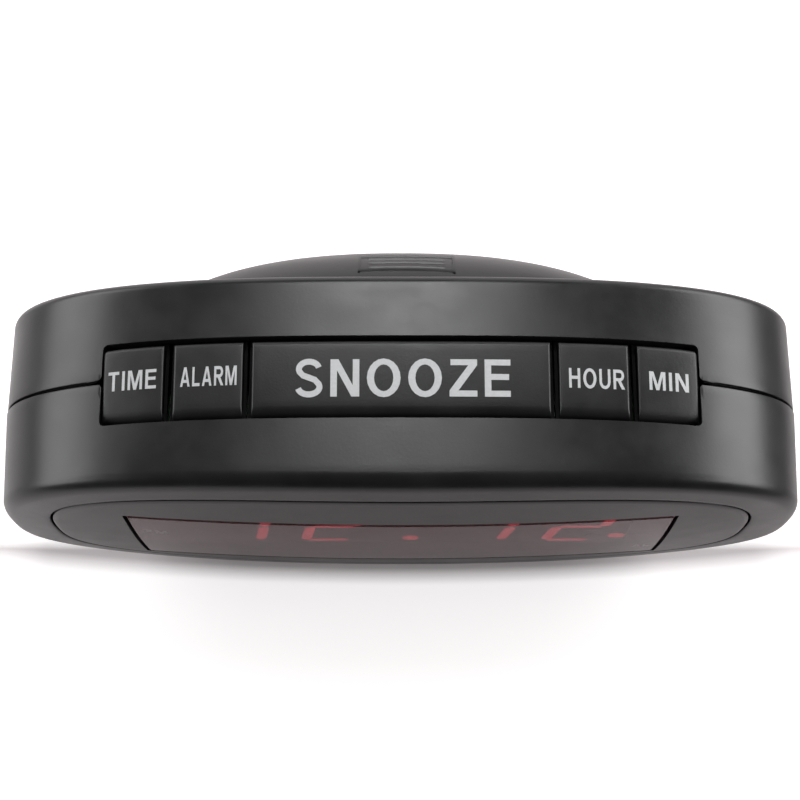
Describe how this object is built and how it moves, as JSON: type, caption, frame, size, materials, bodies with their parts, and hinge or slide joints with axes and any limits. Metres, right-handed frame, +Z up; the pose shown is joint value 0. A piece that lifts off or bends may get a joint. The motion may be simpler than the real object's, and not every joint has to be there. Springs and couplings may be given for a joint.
{
  "type": "digital alarm clock",
  "caption": "Mains digital alarm clock: oval two-shell case, red LED display behind a tinted window, top keys, side alarm switch, rear transformer dome and battery door.",
  "frame": {"origin": "centre of the footprint, on the surface that the feet stand on", "axes": "+X along the length to the right as seen from the front, -Y out of the display, +Z up"},
  "size_m": [0.1488, 0.0553, 0.0657],
  "materials": {
    "case": "satin black moulded plastic with a fine grain",
    "bezel": "smooth semi-gloss black plastic",
    "lens": "smoke-red tinted clear plastic window",
    "key": "satin black moulded plastic with light grey printed legends",
    "rubber": "matt black rubber",
    "board": "green circuit board",
    "chip": "black moulded component",
    "display": "dark display block with red segments",
    "steel": "plated steel",
    "laminations": "stacked steel laminations",
    "coil": "varnished winding under tape",
    "capacitor": "printed sleeve",
    "ribbon": "grey ribbed ribbon cable",
    "lead_red": "red insulated wire",
    "lead_black": "black insulated wire"
  },
  "bodies": {
    "housing": {"battery_lead_black": "lead_black", "battery_lead_red": "lead_red", "battery_snap": "chip", "buzzer": "chip", "capacitor_large": "capacitor", "capacitor_small": "capacitor", "clock_chip": "chip", "cord_inlet": "rubber", "display_lens": "lens", "display_module": "display", "foot_front_left": "rubber", "foot_front_right": "rubber", "foot_rear_left": "rubber", "foot_rear_right": "rubber", "front_bezel": "bezel", "front_housing": "case", "housing_screw_lower_left": "steel", "housing_screw_lower_right": "steel", "housing_screw_upper_left": "steel", "housing_screw_upper_right": "steel", "key_pcb": "board", "key_pcb_screw_left": "steel", "key_pcb_screw_right": "steel", "main_pcb": "board", "main_pcb_screw_left": "steel", "main_pcb_screw_right": "steel", "rear_housing": "case", "ribbon_cable": "ribbon", "slide_switch_body": "steel", "switch_alarm": "chip", "switch_hour": "chip", "switch_min": "chip", "switch_snooze": "chip", "switch_time": "chip", "transformer_coil": "coil", "transformer_core": "laminations"},
    "key_time": {"button_time": "key", "switch_plunger_time": "steel"},
    "key_alarm": {"button_alarm": "key", "switch_plunger_alarm": "steel"},
    "key_snooze": {"button_snooze": "key", "switch_plunger_snooze": "steel"},
    "key_hour": {"button_hour": "key", "switch_plunger_hour": "steel"},
    "key_min": {"button_min": "key", "switch_plunger_min": "steel"},
    "alarm_slider": {"alarm_switch_knob": "key"},
    "battery_cover": {"battery_door": "case"}
  },
  "joints": [
    {"name": "key_time_press", "type": "slide", "parent": "housing", "child": "key_time", "axis": [0, 0, -1], "range_m": [0, 0.0008], "stiffness_N_per_m": 900, "springref_m": -0.0004},
    {"name": "key_alarm_press", "type": "slide", "parent": "housing", "child": "key_alarm", "axis": [0, 0, -1], "range_m": [0, 0.0008], "stiffness_N_per_m": 900, "springref_m": -0.0004},
    {"name": "key_snooze_press", "type": "slide", "parent": "housing", "child": "key_snooze", "axis": [0, 0, -1], "range_m": [0, 0.0008], "stiffness_N_per_m": 900, "springref_m": -0.0004},
    {"name": "key_hour_press", "type": "slide", "parent": "housing", "child": "key_hour", "axis": [0, 0, -1], "range_m": [0, 0.0008], "stiffness_N_per_m": 900, "springref_m": -0.0004},
    {"name": "key_min_press", "type": "slide", "parent": "housing", "child": "key_min", "axis": [0, 0, -1], "range_m": [0, 0.0008], "stiffness_N_per_m": 900, "springref_m": -0.0004},
    {"name": "alarm_switch_slide", "type": "slide", "parent": "housing", "child": "alarm_slider", "axis": [0, 0, 1], "range_m": [0, 0.0025]},
    {"name": "battery_door_hinge", "type": "hinge", "parent": "housing", "child": "battery_cover", "pos_m": [0, -0.0011, 0.0027], "axis": [-1, 0, 0], "range_deg": [0, 85]}
  ]
}
